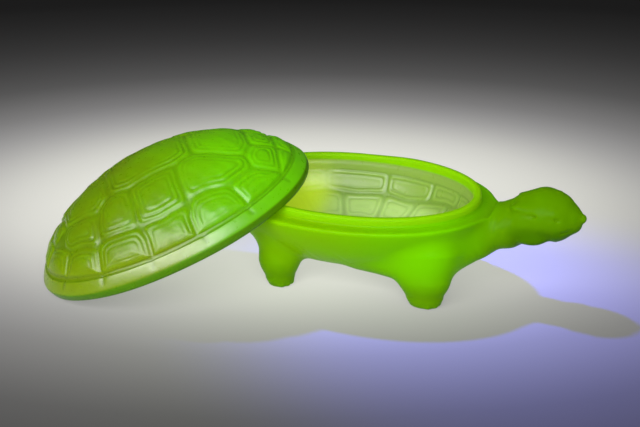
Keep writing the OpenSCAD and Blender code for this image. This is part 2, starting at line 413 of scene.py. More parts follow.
    # the last ring of the disc is joined to the row outside it
    o1 = B.disc(st, K2 - 1, up=False)
    k = K2
    j = np.arange(6 * k)
    sec, i = j // k, j % k
    m = 6 * (k - 1)
    a, b = last + j, last + (j + 1) % (6 * k)
    c1 = o1 + (sec * (k - 1) + i) % m
    B.tri(a, b, c1, False)
    q = i < k - 1
    c2 = o1 + (sec * (k - 1) + i + 1) % m
    B.tri(b[q], c2[q], c1[q], False)
    return B.done()


# ------------------------------------------------------------------ bowl
def a_of(u):
    return u + 18.5 * np.where(u < 40, 1 - (1 - np.minimum(u, 40) / 40) ** 2, 1)


def make_u():
    h = 0.5
    xs, ys = np.arange(-84, 126.1, h), np.arange(0, 66.1, h)
    X, Y = np.meshgrid(xs, ys, indexing="ij")
    X = np.abs(X)
    a, b = np.full(X.shape, 1e-3), np.full(X.shape, 120.0)
    for _ in range(32):
        m = (a + b) / 2
        out = (X / a_of(m)) ** SQ + (Y / m) ** SQ > 1
        a, b = np.where(out, m, a), np.where(out, b, m)
    return Grid(xs[0], ys[0], h, (a + b) / 2)


U = make_u()
BELLY = [(0.30, 0), (0.42, 0.02), (0.52, 0.09), (0.63, 0.20), (0.735, 0.34), (0.83, 0.50), (0.91, 0.68), (0.965, 0.83), (0.993, 0.93), (1, 0.965)]
belly = smooth_curve([(0, 11.0), (9, 11.0)] + [(LED_B * a, 11 + b * 30.1) for a, b in BELLY], 0.8)
belly = np.vstack([belly, [(51.35, 40.75), (50.75, LED_Z), (0, LED_Z)]])


def make_side():
    h = 0.3
    us, zs = np.arange(-12, 104.1, h), np.arange(-10, 70.1, h)
    X, Y = np.meshgrid(us, zs, indexing="ij")
    poly = np.vstack([belly, (belly * [-1, 1])[::-1]])
    return Grid(us[0], zs[0], h, blur(-poly_dist(X, Y, poly), 0.45 / h))


SIDE = make_side()


def smin(a, b, k):
    h = np.maximum(k - np.abs(a - b), 0) / k
    return np.minimum(a, b) - h * h * k / 4


def smax(a, b, k):
    return -smin(-a, -b, k)


def ball(P, c, r):
    d = P - np.array(c, float)
    L = np.linalg.norm(d, axis=1)
    n = np.maximum(np.linalg.norm(d / np.array(r, float), axis=1), 1e-6)
    return L - L / n


def rod(P, c0, r0, c1, r1):
    c0, r0, c1, r1 = (np.array(v, float) for v in (c0, r0, c1, r1))
    ax = c1 - c0
    t = np.clip((P - c0) @ ax / (ax @ ax), 0, 1)[:, None]
    d = P - (c0 + t * ax)
    L = np.linalg.norm(d, axis=1)
    n = np.maximum(np.linalg.norm(d / (r0 + t * (r1 - r0)), axis=1), 1e-6)
    return L - L / n


def chain(P, balls, k):
    d = None
    for (c0, r0), (c1, r1) in zip(balls, balls[1:]):
        e = rod(P, c0, r0, c1, r1)
        d = e if d is None else smin(d, e, k)
    return d


HEAD = [
    ((48, 0, 25), (15, 20, 13)), ((65, 0, 31.0), (11, 15, 10.6)), ((78, 0, 35), (9, 12.3, 10.8)), ((87, 0, 40), (9, 12.3, 11.8)),
    ((94.5, 0, 42.8), (11.3, 13.3, 11.8)), ((101, 0, 41.9), (8.7, 11.3, 11.4)), ((107.2, 0, 42), (4.4, 6.8, 6.3)), ((112.4, 0, 42.4), (1.8, 2.5, 2.1)),
]
TAIL = [((-52, 0, 26), (10, 9, 8)), ((-66, 0, 24), (6, 5, 4.5)), ((-74, 0, 21.5), (2.2, 2, 1.8))]


def leg(P, x, y, w, top=17.0):
    q = 0.0 if top > 15 else 1.4
    a, b = (11.5, 8.5) if top > 15 else (10.8, 7.8)
    d = chain(P, [((x - 1.5 + q, y * 0.86, 23.5), (top * w, 14, 12.5)), ((x, y * 0.97, 12.5), (a * w, 10, 9)), ((x + 0.5, y, 5), (b * w, 7.4, 5.4))], 3.0)
    return smin(d, rod(P, (x + 0.5, y, 3.6), ((b - 0.6) * w, 7, 3), (x + 0.5, y, 1.2), ((b - 1.4) * w, 6.2, 2.6)), 2.0)


def field(P):
    """Signed distance to the bowl's body with its limbs, without the collar and hollow. Negative inside."""
    Q = P.copy()
    Q[:, 1] = np.abs(Q[:, 1])
    x, y, z = Q.T
    u = U(x, y)
    body = SIDE(u, z)
    head = chain(Q, HEAD, 2.2)
    head = smin(head, ball(Q, (90.5, 7.0, 33.2), (6.5, 4.8, 4.0)), 3.5)
    # brow, eye and mouth
    head = smin(head, rod(Q, (83, 8.6, 47.4), (3.0, 2.2, 1.3), (100, 8.6, 46.6), (2.6, 1.7, 1.1)), 3.0)
    head = smax(head, -rod(Q, (88, 13.2, 45.6), (2.5, 0.35, 0.35), (102, 10.6, 44.2), (2.0, 0.3, 0.3)), 1.6)
    head = smin(head, ball(Q, (99.0, 10.9, 42.6), (1.9, 1.1, 1.4)), 1.6)
    head = smax(head, -rod(Q, (112.0, 2.6, 38.6), (1.2, 1.6, 0.35), (104, 9.2, 37.4), (1.0, 0.4, 0.2)), 1.2)
    head = smin(head, rod(Q, (108.4, 0, 38.6), (3.6, 5.0, 3.2), (100, 0, 36.0), (6, 8.5, 4.4)), 2.0)
    # folds of the neck
    for cx, cz, a in ((72.5, 36.0, 0.13), (77.5, 38.5, 0.12), (82.5, 40.5, 0.10)):
        head = head + a * gauss(x - cx - 0.35 * (z - cz), 1.1) * sstep(y, 4, 9)
    chest = rod(Q, (46, 16, 21.8), (14, 13, 11.3), (60, 7, 27.6), (10, 9, 9.2))
    chest = smin(chest, rod(Q, (46, 0, 21.4), (14, 13, 11.3), (60, 0, 27.4), (10, 9, 9.4)), 3)
    tail = chain(Q, TAIL, 2.0)
    f, r = leg(Q, 44.6, 28, 1.04), leg(Q, -28.6, 28.6, 0.88, 13.4)
    f = smin(f, rod(Q, (14, 22, 20.0), (9, 8, 7.8), (36, 26, 18.4), (9, 9, 8.7)), 4)
    # toes
    for lx, ly, sp in ((45.1, 28, 1.04), (-28.1, 28.6, 0.88)):
        toes = None
        for ang in (-48, -16, 16, 48):
            a = math.radians(ang + 12)
            b = ball(Q, (lx + 6.0 * sp * math.cos(a), ly + 5.6 * math.sin(a), 1.7), (1.5, 1.5, 1.7))
            toes = b if toes is None else np.minimum(toes, b)
        if lx > 0:
            f = smin(f, toes, 1.4)
        else:
            r = smin(r, toes, 1.4)
    limbs = smin(smin(head, chest, 6), smin(f, chest, 6), 5)
    limbs = smin(limbs, tail, 4)
    F = smin(smin(body, limbs, 6.5), r, 5.2)
    # soft creases where the thighs swell out of the belly
    F = F + 0.28 * gauss(x + 0.55 * z - 2.5, 1.5) * sstep(y, 24, 32) * sstep(z, 14, 20) * (1 - sstep(z, 26, 34))
    F = F + 0.22 * gauss(x + 0.6 * z - 20.0, 1.3) * sstep(y, 24, 32) * sstep(z, 14, 18) * (1 - sstep(z, 24, 30))
    seat = np.maximum(u - (LED_B + 1.4), LED_Z + 0.05 - z)
    F = smax(F, -seat, 0.35)
    return smax(F, -z, 0.9)


def surface_net(lo, hi, g):
    """A closed mesh of field = 0 on a grid that is the same on both sides of the middle plane."""
    xs = np.arange(lo[0], hi[0] + g, g)
    ny = int(math.ceil(hi[1] / g))
    ys = (np.arange(-ny, ny + 1)) * g
    zs = np.arange(lo[2], hi[2] + g, g)
    half = ys >= -1e-9
    X, Y, Z = np.meshgrid(xs, ys[half], zs, indexing="ij")
    P = np.stack([X.ravel(), Y.ravel(), Z.ravel()], 1)
    val = np.concatenate([field(P[i : i + 200000]) for i in range(0, len(P), 200000)]).reshape(X.shape)
    V = np.concatenate([val[:, :0:-1], val], 1)
    S = V < 0
    c = np.array([(i, j, k) for i in (0, 1) for j in (0, 1) for k in (0, 1)])
    sh = np.array(V.shape) - 1
    cnt = sum(S[i : i + sh[0], j : j + sh[1], k : k + sh[2]].astype(np.int8) for i, j, k in c)
    act = np.argwhere((cnt > 0) & (cnt < 8))
    ids = np.full(sh, -1)
    ids[tuple(act.T)] = np.arange(len(act))
    corner = np.stack([V[tuple((act + q).T)] for q in c], 1)
    acc, num = np.zeros((len(act), 3)), np.zeros(len(act))
    for a in range(8):
        for b in range(a + 1, 8):
            if np.abs(c[a] - c[b]).sum() != 1:
                continue
            va, vb = corner[:, a], corner[:, b]
            m = (va < 0) != (vb < 0)
            t = np.where(m, va / np.where(m, va - vb, 1), 0)
            acc += np.where(m[:, None], c[a] + t[:, None] * (c[b] - c[a]), 0)
            num += m
    pts = (act + acc / num[:, None]) * g + np.array([xs[0], ys[0], zs[0]])
    quads = []
    for ax in range(3):
        o1, o2 = [(1, 2), (2, 0), (0, 1)][ax]
        a = np.take(S, range(S.shape[ax] - 1), ax)
        b = np.take(S, range(1, S.shape[ax]), ax)
        e = np.argwhere(a != b)
        e = e[(e[:, o1] > 0) & (e[:, o2] > 0)]
        flip = a[tuple(e.T)]
        u1, u2 = np.zeros(3, int), np.zeros(3, int)
        u1[o1], u2[o2] = 1, 1
        q = np.stack([ids[tuple((e - w).T)] for w in (u1 + u2, u2, 0 * u1, u1)], 1)
        q[~flip] = q[~flip][:, ::-1]
        quads.append(q)
    return pts, np.vstack(quads)


def grad(P, e=0.05):
    G = np.empty_like(P)
    for i in range(3):
        d = np.zeros(3)
        d[i] = e
        G[:, i] = (field(P + d) - field(P - d)) / (2 * e)
    return G


def project(P, times=3):
    for _ in range(times):
        f, G = field(P), grad(P)
        step = f[:, None] * G / np.maximum((G * G).sum(1), 0.15)[:, None]
        n = np.linalg.norm(step, axis=1)
        P = P - step * np.minimum(1, 0.8 / np.maximum(n, 1e-9))[:, None]
    return P


def edges_of(F):
    E = np.vstack([F[:, [0, 1]], F[:, [1, 2]], F[:, [2, 0]]])
    E.sort(1)
    return E


def relax(V, F, keep, times=2, amount=0.5):
    for _ in range(times):
        E = np.unique(edges_of(F), axis=0)
        n = np.bincount(E.ravel(), minlength=len(V))
        A = np.zeros_like(V)
        for c in range(3):
            A[:, c] = np.bincount(E[:, 0], V[E[:, 1], c], len(V)) + np.bincount(E[:, 1], V[E[:, 0], c], len(V))
        d = A / np.maximum(n, 1)[:, None] - V
        N = normals(V, F)
        d -= (d * N).sum(1)[:, None] * N
        V = np.where(keep[:, None], V, V + amount * d)
        V = np.where(keep[:, None], V, project(V, 1))
    return V


def refine(V, F, target):
    """Splits every edge longer than target(its middle), and puts the new points on the surface."""
    E, inv = np.unique(edges_of(F), axis=0, return_inverse=True)
    inv = inv.reshape(-1)
    M = (V[E[:, 0]] + V[E[:, 1]]) / 2
    L = np.linalg.norm(V[E[:, 0]] - V[E[:, 1]], axis=1)
    cut = L > target(M)
    new = np.full(len(E), -1)
    new[cut] = len(V) + np.arange(cut.sum())
    V = np.vstack([V, project(M[cut], 2)])
    n = len(F)
    e = np.stack([new[inv[:n]], new[inv[n : 2 * n]], new[inv[2 * n :]]], 1)  # middles of edges 01, 12, 20
    c = (e >= 0).sum(1)
    out = [F[c == 0]]
    q = c == 3
    f, m = F[q], e[q]
    out += [np.stack([f[:, 0], m[:, 0], m[:, 2]], 1), np.stack([f[:, 1], m[:, 1], m[:, 0]], 1), np.stack([f[:, 2], m[:, 2], m[:, 1]], 1), m]
    for r in range(3):  # one cut edge: r, r+1
        q = (c == 1) & (e[:, r] >= 0)
        f, m = F[q], e[q][:, r]
        a, b, d = f[:, r], f[:, (r + 1) % 3], f[:, (r + 2) % 3]
        out += [np.stack([a, m, d], 1), np.stack([m, b, d], 1)]
    for r in range(3):  # two cut edges: all but r, r+1
        q = (c == 2) & (e[:, r] < 0)
        f, m = F[q], e[q]
        a, b, d = f[:, r], f[:, (r + 1) % 3], f[:, (r + 2) % 3]
        m1, m2 = m[:, (r + 1) % 3], m[:, (r + 2) % 3]  # on b-d and d-a
        out.append(np.stack([d, m2, m1], 1))
        s = np.linalg.norm(V[a] - V[m1], axis=1) < np.linalg.norm(V[b] - V[m2], axis=1)
        out += [np.stack([a[s], b[s], m1[s]], 1), np.stack([a[s], m1[s], m2[s]], 1)]
        s = ~s
        out += [np.stack([a[s], b[s], m2[s]], 1), np.stack([b[s], m1[s], m2[s]], 1)]
    return V, np.vstack(out)


# every oval row of the hollow, the collar and the ledge's root: half width, height
RIM = [(39.9, 40.3), (40.25, 41.5), (40.45, 43.2), (40.5, 44.4), (40.72, 45.06), (41.3, 45.46), (42.3, 45.5), (43.3, 45.46),
       (43.92, 45.08), (44.15, 44.5), (44.2, 43.4), (44.24, 42.3), (44.36, 41.5), (44.75, 41.15), (45.3, 41.1)]
HOLLOW = [(0, 16.0), (8.9, 16.0), (17.0, 16.75), (24.3, 18.76), (30.0, 22.35), (34.4, 26.8), (37.67, 32.06), (39.45, 37.2), (39.9, 40.3)]
hollow = smooth_curve(HOLLOW, 0.2)
hol_arc = arc(hollow)


def unroll_hollow(t, u):
    L = np.interp(u, hollow[:, 0], hol_arc)
    k = L / np.maximum(u, 1e-6)
    return a_of(u) * k * spow(np.cos(t), 2 / SQ), u * k * spow(np.sin(t), 2 / SQ)


# relief cells of the hollow: stops round the oval in degrees with the half width of each border
UPPER = [(0, 36.6), (14, 36.4), (25, 35.9), (36, 36.6), (46, 36.6), (58.6, 35.4), (72, 34.0), (85.5, 35.2), (101, 34.2), (118, 35.2), (134, 34.4), (150, 35.4), (165, 34.8), (180, 35.4)]
LOWER = [(0, 23.5), (20, 25.0), (42, 22.5), (53, 23.5), (65, 22.0), (75, 23.5), (85.2, 22.0), (97, 23.6), (108.5, 22.0), (120, 23.6), (132, 22.2), (156, 24.5), (180, 23.0)]
UP_CUTS = [14, 36, 58.6, 85.5, 118, 150]
LOW_CUTS = [20, 42, 65, 85.2, 108.5, 132, 156]


def basin_network():
    h = 0.35
    xs, ys = np.arange(-76, 76.1, h), np.arange(-60, 60.1, h)
    X, Y = np.meshgrid(xs, ys, indexing="ij")
    D = np.full(X.shape, -0.6)

    def line(tab, a, b):
        ts = np.linspace(a, b, max(2, int(abs(b - a) / 2) + 1))
        return list(zip(ts, np.interp(np.abs(ts), [p[0] for p in tab], [p[1] for p in tab])))

    cells = []
    for a, b in zip([-14] + UP_CUTS, UP_CUTS + [210]):
        cells.append([(t, 39.56) for t in np.linspace(a, b, 12)] + line(UPPER + [(195, 34.8), (210, 35.4)], a, b)[::-1])
    for a, b in zip([-20] + LOW_CUTS, LOW_CUTS + [204]):
        cells.append(line(UPPER + [(195, 34.8), (210, 35.4)], a, b) + line(LOWER + [(204, 24.5)], a, b)[::-1])
    polys = []
    for c in cells:
        mid = np.mean([p[0] for p in c])
        c = np.array(c, float)
        P = np.stack(unroll_hollow(np.radians(c[:, 0]), c[:, 1]), 1)
        polys.append(P)
        if 5 < mid < 175:
            polys.append(P * [1, -1])
    # cells of the floor, across the middle
    ring = np.array(line(LOWER, 0, 180) + [(-t, u) for t, u in line(LOWER, 180, 0)])
    R = np.stack(unroll_hollow(np.radians(ring[:, 0]), ring[:, 1] - 0.2), 1)
    i0 = None
    bars = [-60, -29.5, -10.5, 8.5, 27.5, 60]
    for i, (a, b) in enumerate(zip(bars, bars[1:])):
        sel = (X > a) & (X < b)
        dr = poly_dist(X, Y, R)
        bow = 1.5 * np.cos(Y / 9.0)
        dd = np.minimum(dr, np.minimum(X - a - bow, b + bow - X))
        D = np.maximum(D, np.where(dd > -1.5, dd, -1.5))
    for P in polys:
        i0, i1 = np.searchsorted(xs, [P[:, 0].min() - 1, P[:, 0].max() + 1])
        j0, j1 = np.searchsorted(ys, [P[:, 1].min() - 1, P[:, 1].max() + 1])
        D[i0:i1, j0:j1] = np.maximum(D[i0:i1, j0:j1], poly_dist(X[i0:i1, j0:j1], Y[i0:i1, j0:j1], P))
    return Grid(xs[0], ys[0], h, blur(D, 0.9 / h))


def doubled(F):
    """How many directed edges are used twice."""
    E = np.vstack([F[:, [0, 1]], F[:, [1, 2]], F[:, [2, 0]]])
    k = E[:, 0].astype(np.int64) * (int(F.max()) + 1) + E[:, 1]
    return len(k) - len(np.unique(k))


def build_base():
    # outer body and limbs
    for x0 in (-79.6, -80.0, -79.3, -80.4):
        V, Q = surface_net((x0, -56, -1.3), (117, 56, 58), 1.25)
        F = np.vstack([Q[:, [0, 1, 2]], Q[:, [0, 2, 3]]])
        if doubled(F) == 0:
            break
    V = project(V, 3)
    V = relax(V, F, np.zeros(len(V), bool), 2)

    def target(M):
        x, y, z = M[:, 0], np.abs(M[:, 1]), M[:, 2]
        u = U(x, y)
        T = np.full(len(M), 2.3)
        T = np.where((np.abs(u - 51.0) < 1.3) & (z > 38.5), 1.0, T)
        T = np.where((x > 70) & (z > 22), 1.15, T)
        T = np.where((x > 68) & (x < 75) & (z > 38), 0.8, T)
        T = np.where(z < 4.5, 1.1, T)
        return T

    for _ in range(2):
        V, F = refine(V, F, target)
    V = relax(V, F, np.zeros(len(V), bool), 1, 0.4)
    V = project(V, 2)
    check_closed("limbs", F, V)
    # open the flat top inside the ledge
    u = U(V[:, 0], np.abs(V[:, 1]))
    top = (V[:, 2] > LED_Z - 0.5) & (u < 50.1)
    V[top, 2] = LED_Z
    gone = top & (u < 48.6)
    F = F[~gone[F].all(1)]
    used = np.unique(F)
    remap = np.full(len(V), -1)
    remap[used] = np.arange(len(used))
    V, F = V[used], remap[F]
    # its open border, in order
    D = np.vstack([F[:, [0, 1]], F[:, [1, 2]], F[:, [2, 0]]])
    key = D[:, 0].astype(np.int64) * len(V) + D[:, 1]
    rev = D[:, 1].astype(np.int64) * len(V) + D[:, 0]
    border = D[~np.isin(rev, key)]
    # the hollow, the collar and the root of the ledge
    K = 104
    N = 6 * K
    B = Build()
    share, t = hex_angles(K)
    L = share * hol_arc[-1]
    uu, zz = np.interp(L, hol_arc, hollow[:, 0]), np.interp(L, hol_arc, hollow[:, 1])
    x, y = a_of(uu) * spow(np.cos(t), 2 / SQ), uu * spow(np.sin(t), 2 / SQ)
    P = np.stack([x, y, zz], 1)
    net = basin_network()
    d = net(*unroll_hollow(t, uu))
    fade = 1 - sstep(uu, 39.58, 39.8)
    fade = fade * (0.12 + 0.88 * sstep(x, -26, -17))
    h = 0.20 * sstep(d, 0.2, 1.8) - 0.26 * gauss(d - 0.7, 0.5) - 0.20 * gauss(d - 3.0, 0.45) + 0.12 * gauss(d - 1.8, 0.6) + 0.06 * gauss(d - 4.0, 0.7) - 0.09 * gauss(d - 6.4, 0.6)
    # g is painted shade: the relief's grooves and troughs are painted darker
    g = 0.62 * gauss(d - 0.7, 0.55) + 0.42 * gauss(d - 3.0, 0.5) + 0.16 * gauss(d - 6.4, 0.6)
    st = B.add(P, np.clip(g, 0, 1) * fade)
    last = B.disc(st, K)
    nd = B.n
    rows = smooth_curve(RIM, 0.62)[1:]
    tt = 2 * np.pi * np.arange(N) / N
    c, sn = spow(np.cos(tt), 2 / SQ), spow(np.sin(tt), 2 / SQ)
    for ru, rz in rows:
        lift = 0.9 * sstep(rz, 41.5, 45.5) * sstep(c, -0.1, 0.35) * sstep(sn, 0.1, 0.5)
        cur = B.add(np.stack([(ru + 18.5) * c, ru * sn, rz + lift], 1))
        B.strip(last, cur, N)
        last = cur
    V2, F2, A2 = B.done()
    Nn = normals(V2, F2)
    V2[:nd] += Nn[:nd] * (h * fade)[:, None]
    # join the two parts over the flat of the ledge
    ids = np.unique(border)
    pos = {int(v): i for i, v in enumerate(ids)}
    pts = [Vector((float(V[i, 0]), float(V[i, 1]))) for i in ids]
    eds = [(pos[int(a)], pos[int(b)]) for a, b in border]
    n0 = len(pts)
    for j in range(N):
        p = V2[last + j]
        pts.append(Vector((float(p[0]), float(p[1]))))
        eds.append((n0 + j, n0 + (j + 1) % N))
    rv, _, rf, ov, _, _ = delaunay_2d_cdt(pts, eds, [], 1, 1e-7)
    rv = np.array([tuple(p) for p in rv])
    off = len(V)
    glob = np.array([int(ids[o[0]]) if o[0] < n0 else off + last + o[0] - n0 for o in ov])
    tri = np.array([f for f in rf if len(f) == 3])
    cen = rv[tri].mean(1)
    tri = tri[U(cen[:, 0], np.abs(cen[:, 1])) > 45.28]
    orig = np.array([o[0] for o in ov])
    tri = tri[~(orig[tri] >= n0).all(1)]
    a, b, c3 = rv[tri[:, 0]], rv[tri[:, 1]], rv[tri[:, 2]]
    area = (b[:, 0] - a[:, 0]) * (c3[:, 1] - a[:, 1]) - (b[:, 1] - a[:, 1]) * (c3[:, 0] - a[:, 0])
    tri[area < 0] = tri[area < 0][:, ::-1]
    Vall = np.vstack([V, V2])
    Fall = np.vstack([F, F2 + off, glob[tri]])
    Aall = np.concatenate([np.zeros(len(V)), A2])
    print("base parts", len(F), len(F2), len(tri), "border", len(border), len(ids), len(pts), len(rv))
    inside, collar_glow = np.zeros(len(Vall)), np.zeros(len(Vall))
    # the tint of the hollow is painted light: paler, whiter glass, as if the light under the dish shone up through its
    # thin floor; inside also sets the hollow's smoother finish
    inside[off : off + nd] = 1 - sstep(zz, 41.6, 43.2)
    z = Vall[off:, 2]
    u = U(Vall[off:, 0], np.abs(Vall[off:, 1]))
    left, light_through_floor = np.zeros(len(Vall)), np.zeros(len(Vall))
    wall = np.zeros(len(Vall), bool)
    wall[off + nd :] = True
    inside[off:] += wall[off:] * (1 - sstep(u, 40.4, 41.0)) * (1 - sstep(z, 41.6, 43.4)) * sstep(z, 38, 40)
    inside = np.clip(inside, 0, 1)
    # painted reflection: the lid's green glow, painted as a bright yellow-green patch in the left of the hollow
    left[off:] = inside[off:] * (1 - sstep(Vall[off:, 0], -38, -12)) * (1 - 0.6 * sstep(z, 26, 40))
    # painted shade under the head and neck
    under = sstep(Vall[:, 0], 74, 88) * (1 - sstep(Vall[:, 2], 34, 43))
    # painted light: the floor of the hollow is painted paler and brighter, as light shines up through it
    light_through_floor[off:] = inside[off:] * (1 - sstep(z, 20, 30))
    # painted light: the thin collar is painted brighter, as light shines through the thin glass
    collar_glow[off:] = sstep(z, 41.6, 43.4) * sstep(u, 39.6, 40.4) * (1 - sstep(u, 44.3, 44.8))
    return Vall, Fall, {"groove": Aall, "hollow": inside, "collar_glow": collar_glow, "left": left, "light_through_floor": light_through_floor, "under": under}


def check_closed(name, F, V=None):
    E = np.vstack([F[:, [0, 1]], F[:, [1, 2]], F[:, [2, 0]]])
    m = int(F.max()) + 1
    k = E[:, 0].astype(np.int64) * m + E[:, 1]
    r = E[:, 1].astype(np.int64) * m + E[:, 0]
    print(name, "faces", len(F), "open edges", int((~np.isin(r, k)).sum()), "doubled", len(k) - len(np.unique(k)))
    if V is not None:
        kk, ct = np.unique(k, return_counts=True)
        for q in kk[ct > 1][:6]:
            print("double at", V[q // m].round(1).tolist(), V[q % m].round(1).tolist())
        print("at", V[E[~np.isin(r, k)].ravel()][:8].round(1).tolist())


def lid_matrix():
    Rz = Matrix.Rotation(math.radians(YAW), 3, "Z")
    Ry = Matrix.Rotation(math.radians(-PITCH), 3, "Y")
    Rx = Matrix.Rotation(math.radians(ROLL), 3, "X")
    return np.array(Rz @ Ry @ Rx)


V, F, G = build_lid()
# border is painted light: the lid's lower rim on the side facing the key light is painted lighter and yellower
border = 1 - sstep(V[:, 2], 8, 24)
border *= sstep(V[:, 2], 3.6, 5.2) * (1 - sstep(V[:, 0], -15, 30))
# painted shade: the upright lowest edge, facing down and out, is painted darker
foot_shade = 1 - sstep(V[:, 2], 3.2, 4.6)
gloss = sstep(V[:, 2], 3.6, 5.2) * (1 - sstep(V[:, 2], 9.2, 9.6))
check_closed("lid", F)
V = V @ lid_matrix().T
V += BASE_AT + np.array(LID_AT)
lid = make_object("shell_lid_glass", V, F, {"groove": G, "border": border, "foot_shade": foot_shade, "gloss": gloss})

V, F, G = build_base()
check_closed("base", F, V)
base = make_object("dish_base_glass", V + BASE_AT, F, G)


# ------------------------------------------------------------------ materials
def srgb(r, g, b):
    f = lambda c: c / 255 / 12.92 if c <= 10 else ((c / 255 + 0.055) / 1.055) ** 2.4
    return (f(r), f(g), f(b), 1)


def glass(name, deep, bright, groove, glow, ramp, extra=None):
    """Satin uranium glass. ramp is (direction, start, end) in metres along which the colour goes from deep to bright:
    painted light, the glass painted greener and brighter where the UV light makes it glow more.
    """
    m = bpy.data.materials.new(name)
    m.use_nodes = True
    nt = m.node_tree
    N, Lk = nt.nodes, nt.links
    p = N["Principled BSDF"]
    co = N.new("ShaderNodeTexCoord")

    def put(sock, v):
        if isinstance(v, (int, float, tuple)):
            sock.default_value = v
        else:
            Lk.new(v, sock)

    def noise(scale, detail, rough=0.5):
        n = N.new("ShaderNodeTexNoise")
        n.inputs["Scale"].default_value = scale
        n.inputs["Detail"].default_value = detail
        n.inputs["Roughness"].default_value = rough
        Lk.new(co.outputs["Object"], n.inputs["Vector"])
        return n.outputs["Fac"]

    def math_(op, a, b=None):
        n = N.new("ShaderNodeMath")
        n.operation = op
        put(n.inputs[0], a)
        if b is not None:
            put(n.inputs[1], b)
        return n.outputs[0]

    def mix(fac, a, b):
        n = N.new("ShaderNodeMix")
        n.data_type = "RGBA"
        put(n.inputs[0], fac)
        put(n.inputs[6], a)
        put(n.inputs[7], b)
        return n.outputs[2]

    def rng(v, a, b, c=0.0, d=1.0):
        n = N.new("ShaderNodeMapRange")
        n.interpolation_type = "SMOOTHSTEP"
        n.inputs[1].default_value, n.inputs[2].default_value = a, b
        n.inputs[3].default_value, n.inputs[4].default_value = c, d
        Lk.new(v, n.inputs[0])
        return n.outputs[0]

    def along(direction):
        n = N.new("ShaderNodeVectorMath")
        n.operation = "DOT_PRODUCT"
        n.inputs[1].default_value = direction
        Lk.new(co.outputs["Object"], n.inputs[0])
        return n.outputs["Value"]

    def attribute(key):
        n = N.new("ShaderNodeAttribute")
        n.attribute_name = key
        return n.outputs["Fac"]

    direction, start, end = ramp
    # painted light: the colour ramps from deep to bright, greener and brighter where the UV light makes the glass glow
    # more
    slow = math_("MULTIPLY", math_("SUBTRACT", noise(22, 2), 0.5), (end - start) * 0.3)
    col = mix(rng(math_("ADD", along(direction), slow), start, end), deep, bright)
    # faint clouds in the pressed glass
    cloud = rng(noise(90, 4, 0.6), 0.3, 0.75)
    col = mix(math_("MULTIPLY", cloud, 0.10), col, tuple(c * 1.2 for c in bright[:3]) + (1,))
    if extra:
        for kind, a, b, tint in extra["zones"]:
            v = attribute(kind) if isinstance(kind, str) else along(kind)
            col = mix(rng(v, a, b), col, tint)
    # painted shade: the grooves of the relief are painted darker
    gv = attribute("groove")
    col = mix(math_("MULTIPLY", gv, 0.5), col, groove)
    Lk.new(col, p.inputs["Base Color"])
    # the colour is also emitted: a painted glow standing in for the glass's fluorescence and the light through it,
    # which softens its shading
    Lk.new(col, p.inputs["Emission Color"])
    p.inputs["Emission Strength"].default_value = glow
    p.inputs["Subsurface Weight"].default_value = 0.6
    p.inputs["Subsurface Radius"].default_value = (0.6, 1.0, 0.25)
    p.inputs["Subsurface Scale"].default_value = 0.006
    p.inputs["IOR"].default_value = 1.5
    if extra and extra.get("sheen"):
        key, lo_, hi_ = extra["sheen"]
        Lk.new(rng(attribute(key), 0.0, 1.0, lo_, hi_), p.inputs["Specular IOR Level"])
    else:
        p.inputs["Specular IOR Level"].default_value = 0.25
    Lk.new(rng(noise(420, 3, 0.6), 0.3, 0.7, 0.27, 0.36), p.inputs["Roughness"])
    # fine satin tooth
    bump = N.new("ShaderNodeBump")
    bump.inputs["Strength"].default_value = 0.06
    bump.inputs["Distance"].default_value = 0.00012
    fine = math_("ADD", noise(2600, 2, 0.6), math_("MULTIPLY", noise(240, 3, 0.55), 1.6))
    Lk.new(fine, bump.inputs["Height"])
    Lk.new(bump.outputs["Normal"], p.inputs["Normal"])
    return m


cx, cy = BASE_AT[0] * MM, BASE_AT[1] * MM
K_DIM = 0.37  # the colours below are as seen; the glass itself is this much deeper


def tone(r, g, b, k=1.0):
    c = srgb(r, g, b)
    return (c[0] * K_DIM * k, c[1] * K_DIM * k, c[2] * K_DIM * k, 1)


lid_mat = glass(
    "satin_glass_lid", tone(112, 146, 0), tone(116, 218, 0), tone(60, 104, 0), 0.62,
    ((0.75, 0.1, 0.62), -0.038, 0.032),
    # the border tint is painted light on the lit lower rim; the foot tint is painted shade on the upright edge
    {"zones": [("border", 0.0, 1.0, tone(128, 158, 0, 1.0)), ("foot_shade", 0.0, 1.0, tone(84, 140, 0))], "sheen": ("gloss", 0.26, 0.50)},
)
base_mat = glass(
    "satin_glass_bowl", tone(136, 202, 0), tone(122, 216, 0), tone(80, 136, 0), 0.65,
    ((1.0, 0.1, -0.5), -0.02, 0.05),
    {
        "zones": [
            ((1, 0, 0), cx + 0.048, cx + 0.080, tone(98, 156, 0)),
            # painted shade: darker towards the bottom
            ((0, 0, -1), -0.026, -0.004, tone(100, 158, 2)),
            # painted shade under the head
            ("under", 0.0, 1.0, tone(76, 130, 0)),
            # painted light: the hollow is painted paler and whiter, as light shines up through its thin floor
            ("hollow", 0.0, 1.0, tone(152, 190, 78, 0.94)),
            # painted light on the hollow's floor
            ("light_through_floor", 0.0, 1.0, tone(178, 212, 124, 1.4)),
            # painted reflection of the lid's glow at the hollow's left
            ("left", 0.0, 1.0, tone(198, 232, 44, 1.6)),
            # painted light on the thin collar
            ("collar_glow", 0.0, 1.0, tone(144, 216, 6)),
        ],
        # the hollow was left smoother than the etched outside
        "sheen": ("hollow", 0.015, 0.28),
    },
)
lid.data.materials.append(lid_mat)
base.data.materials.append(base_mat)
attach(lid, "lid")
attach(base, "base")
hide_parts("shell_lid")
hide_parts("dish_base")

